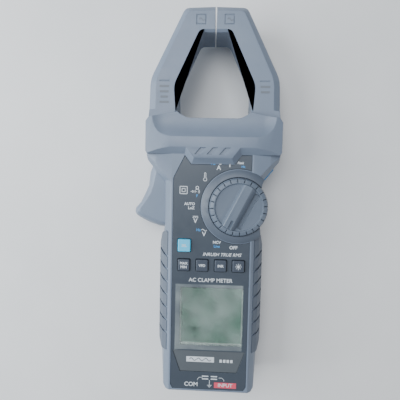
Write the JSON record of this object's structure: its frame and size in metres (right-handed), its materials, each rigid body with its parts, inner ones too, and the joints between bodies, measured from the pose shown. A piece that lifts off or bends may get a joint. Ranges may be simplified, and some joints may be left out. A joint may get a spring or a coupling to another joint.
{
  "type": "clamp meter",
  "caption": "Hand-held clamp meter: split sprung jaws opened by a side trigger, a rotary function dial, keys, a display and shrouded input sockets.",
  "frame": {"origin": "on the flat rear face, on the centre line, half way along the meter", "axes": "+Y towards the jaws, +Z out of the front face with the dial and display, +X to the right seen from the front"},
  "size_m": [0.1077, 0.28, 0.0484],
  "materials": {
    "case": "fine moulded texture, satin",
    "jaw": "fine moulded texture, satin",
    "grip": "soft-touch, matte",
    "trigger": "fine moulded texture, satin",
    "panel": "smooth, satin",
    "label": "smooth, satin",
    "window": "clear and polished",
    "film": "thin clear film",
    "lcd": "grey-green liquid crystal display",
    "white_plastic": "moulded, matte",
    "rubber": "conductive rubber, matte",
    "keypad": "silicone, matte",
    "select_key": "satin",
    "key": "satin",
    "hold_key": "satin",
    "knob": "fine moulded texture, satin",
    "contact": "plated, bright",
    "board": "solder mask, semi-gloss",
    "black_plastic": "matte",
    "red_plastic": "semi-gloss",
    "blue_part": "epoxy coated",
    "battery": "printed metal jacket",
    "lead": "insulated wire",
    "rear_label": "blank silver label",
    "core": "laminated, dark",
    "copper": "enamelled winding wire",
    "rocker": "stamped and zinc plated",
    "steel": "zinc plated"
  },
  "bodies": {
    "case": {"rear_case": "case", "front_case": "case", "front_panel": "panel", "label_plate": "label", "left_grip": "grip", "right_grip": "grip", "display_window": "window", "display_film": "film", "lcd_glass": "lcd", "lcd_frame": "white_plastic", "backlight": "white_plastic", "zebra_strips": "rubber", "keypad": "keypad", "hold_switch": "black_plastic", "main_board": "board", "board_chips": "black_plastic", "board_screws": "steel", "buzzer": "black_plastic", "surge_parts": "blue_part", "battery": "battery", "battery_snap": "black_plastic", "battery_leads": "lead", "rear_label": "rear_label", "com_socket": "black_plastic", "com_contact": "contact", "input_socket": "red_plastic", "input_contact": "contact", "left_pivot_pin": "steel", "right_pivot_pin": "steel", "trigger_spring": "steel", "case_screws": "steel"},
    "select_key": {"select_key": "select_key"},
    "peak_key": {"peak_key": "key"},
    "filter_key": {"filter_key": "key"},
    "inrush_key": {"inrush_key": "key"},
    "light_key": {"light_key": "key"},
    "hold_key": {"hold_key": "hold_key"},
    "dial": {"knob": "knob", "knob_rotor": "white_plastic", "wiper_contacts": "contact"},
    "battery_cover": {"battery_cover": "case", "battery_cover_screw": "steel"},
    "left_jaw": {"left_jaw_front": "jaw", "left_jaw_rear": "jaw", "left_core": "core", "left_coil": "copper", "left_rocker": "rocker", "left_rocker_screws": "steel", "left_jaw_screws": "steel", "trigger": "trigger", "trigger_screws": "steel"},
    "right_jaw": {"right_jaw_front": "jaw", "right_jaw_rear": "jaw", "right_core": "core", "right_coil": "copper", "right_rocker": "rocker", "right_rocker_screws": "steel", "right_jaw_screws": "steel"}
  },
  "joints": [
    {"name": "left_jaw_hinge", "type": "hinge", "parent": "case", "child": "left_jaw", "pos_m": [-0.036, 0.043, 0.0215], "axis": [0, 0, 1], "range_deg": [0, 16], "stiffness_Nm_per_rad": 1.2, "springref_deg": -20.05, "deforming": ["trigger_spring"]},
    {"name": "right_jaw_hinge", "type": "hinge", "parent": "case", "child": "right_jaw", "pos_m": [0.036, 0.043, 0.0215], "axis": [0, 0, 1], "range_deg": [-16, 0]},
    {"name": "dial_turn", "type": "hinge", "parent": "case", "child": "dial", "pos_m": [0.0187, -0.0012, 0.04], "axis": [0, 0, 1], "range_deg": [-147, 21]},
    {"name": "select_press", "type": "slide", "parent": "case", "child": "select_key", "axis": [0, 0, -1], "range_m": [0, 0.0008], "stiffness_N_per_m": 500, "springref_m": -0.001},
    {"name": "peak_press", "type": "slide", "parent": "case", "child": "peak_key", "axis": [0, 0, -1], "range_m": [0, 0.0008], "stiffness_N_per_m": 500, "springref_m": -0.001},
    {"name": "filter_press", "type": "slide", "parent": "case", "child": "filter_key", "axis": [0, 0, -1], "range_m": [0, 0.0008], "stiffness_N_per_m": 500, "springref_m": -0.001},
    {"name": "inrush_press", "type": "slide", "parent": "case", "child": "inrush_key", "axis": [0, 0, -1], "range_m": [0, 0.0008], "stiffness_N_per_m": 500, "springref_m": -0.001},
    {"name": "light_press", "type": "slide", "parent": "case", "child": "light_key", "axis": [0, 0, -1], "range_m": [0, 0.0008], "stiffness_N_per_m": 500, "springref_m": -0.001},
    {"name": "hold_press", "type": "slide", "parent": "case", "child": "hold_key", "axis": [-0.7848, 0.6198, 0], "range_m": [0, 0.0008], "stiffness_N_per_m": 500, "springref_m": -0.001},
    {"name": "battery_cover_hinge", "type": "hinge", "parent": "case", "child": "battery_cover", "pos_m": [0, -0.11385, 0.00115], "axis": [-1, 0, 0], "range_deg": [0, 75]}
  ],
  "couplings": [
    {"joint": "right_jaw_hinge", "follows": "left_jaw_hinge", "ratio": -1}
  ]
}
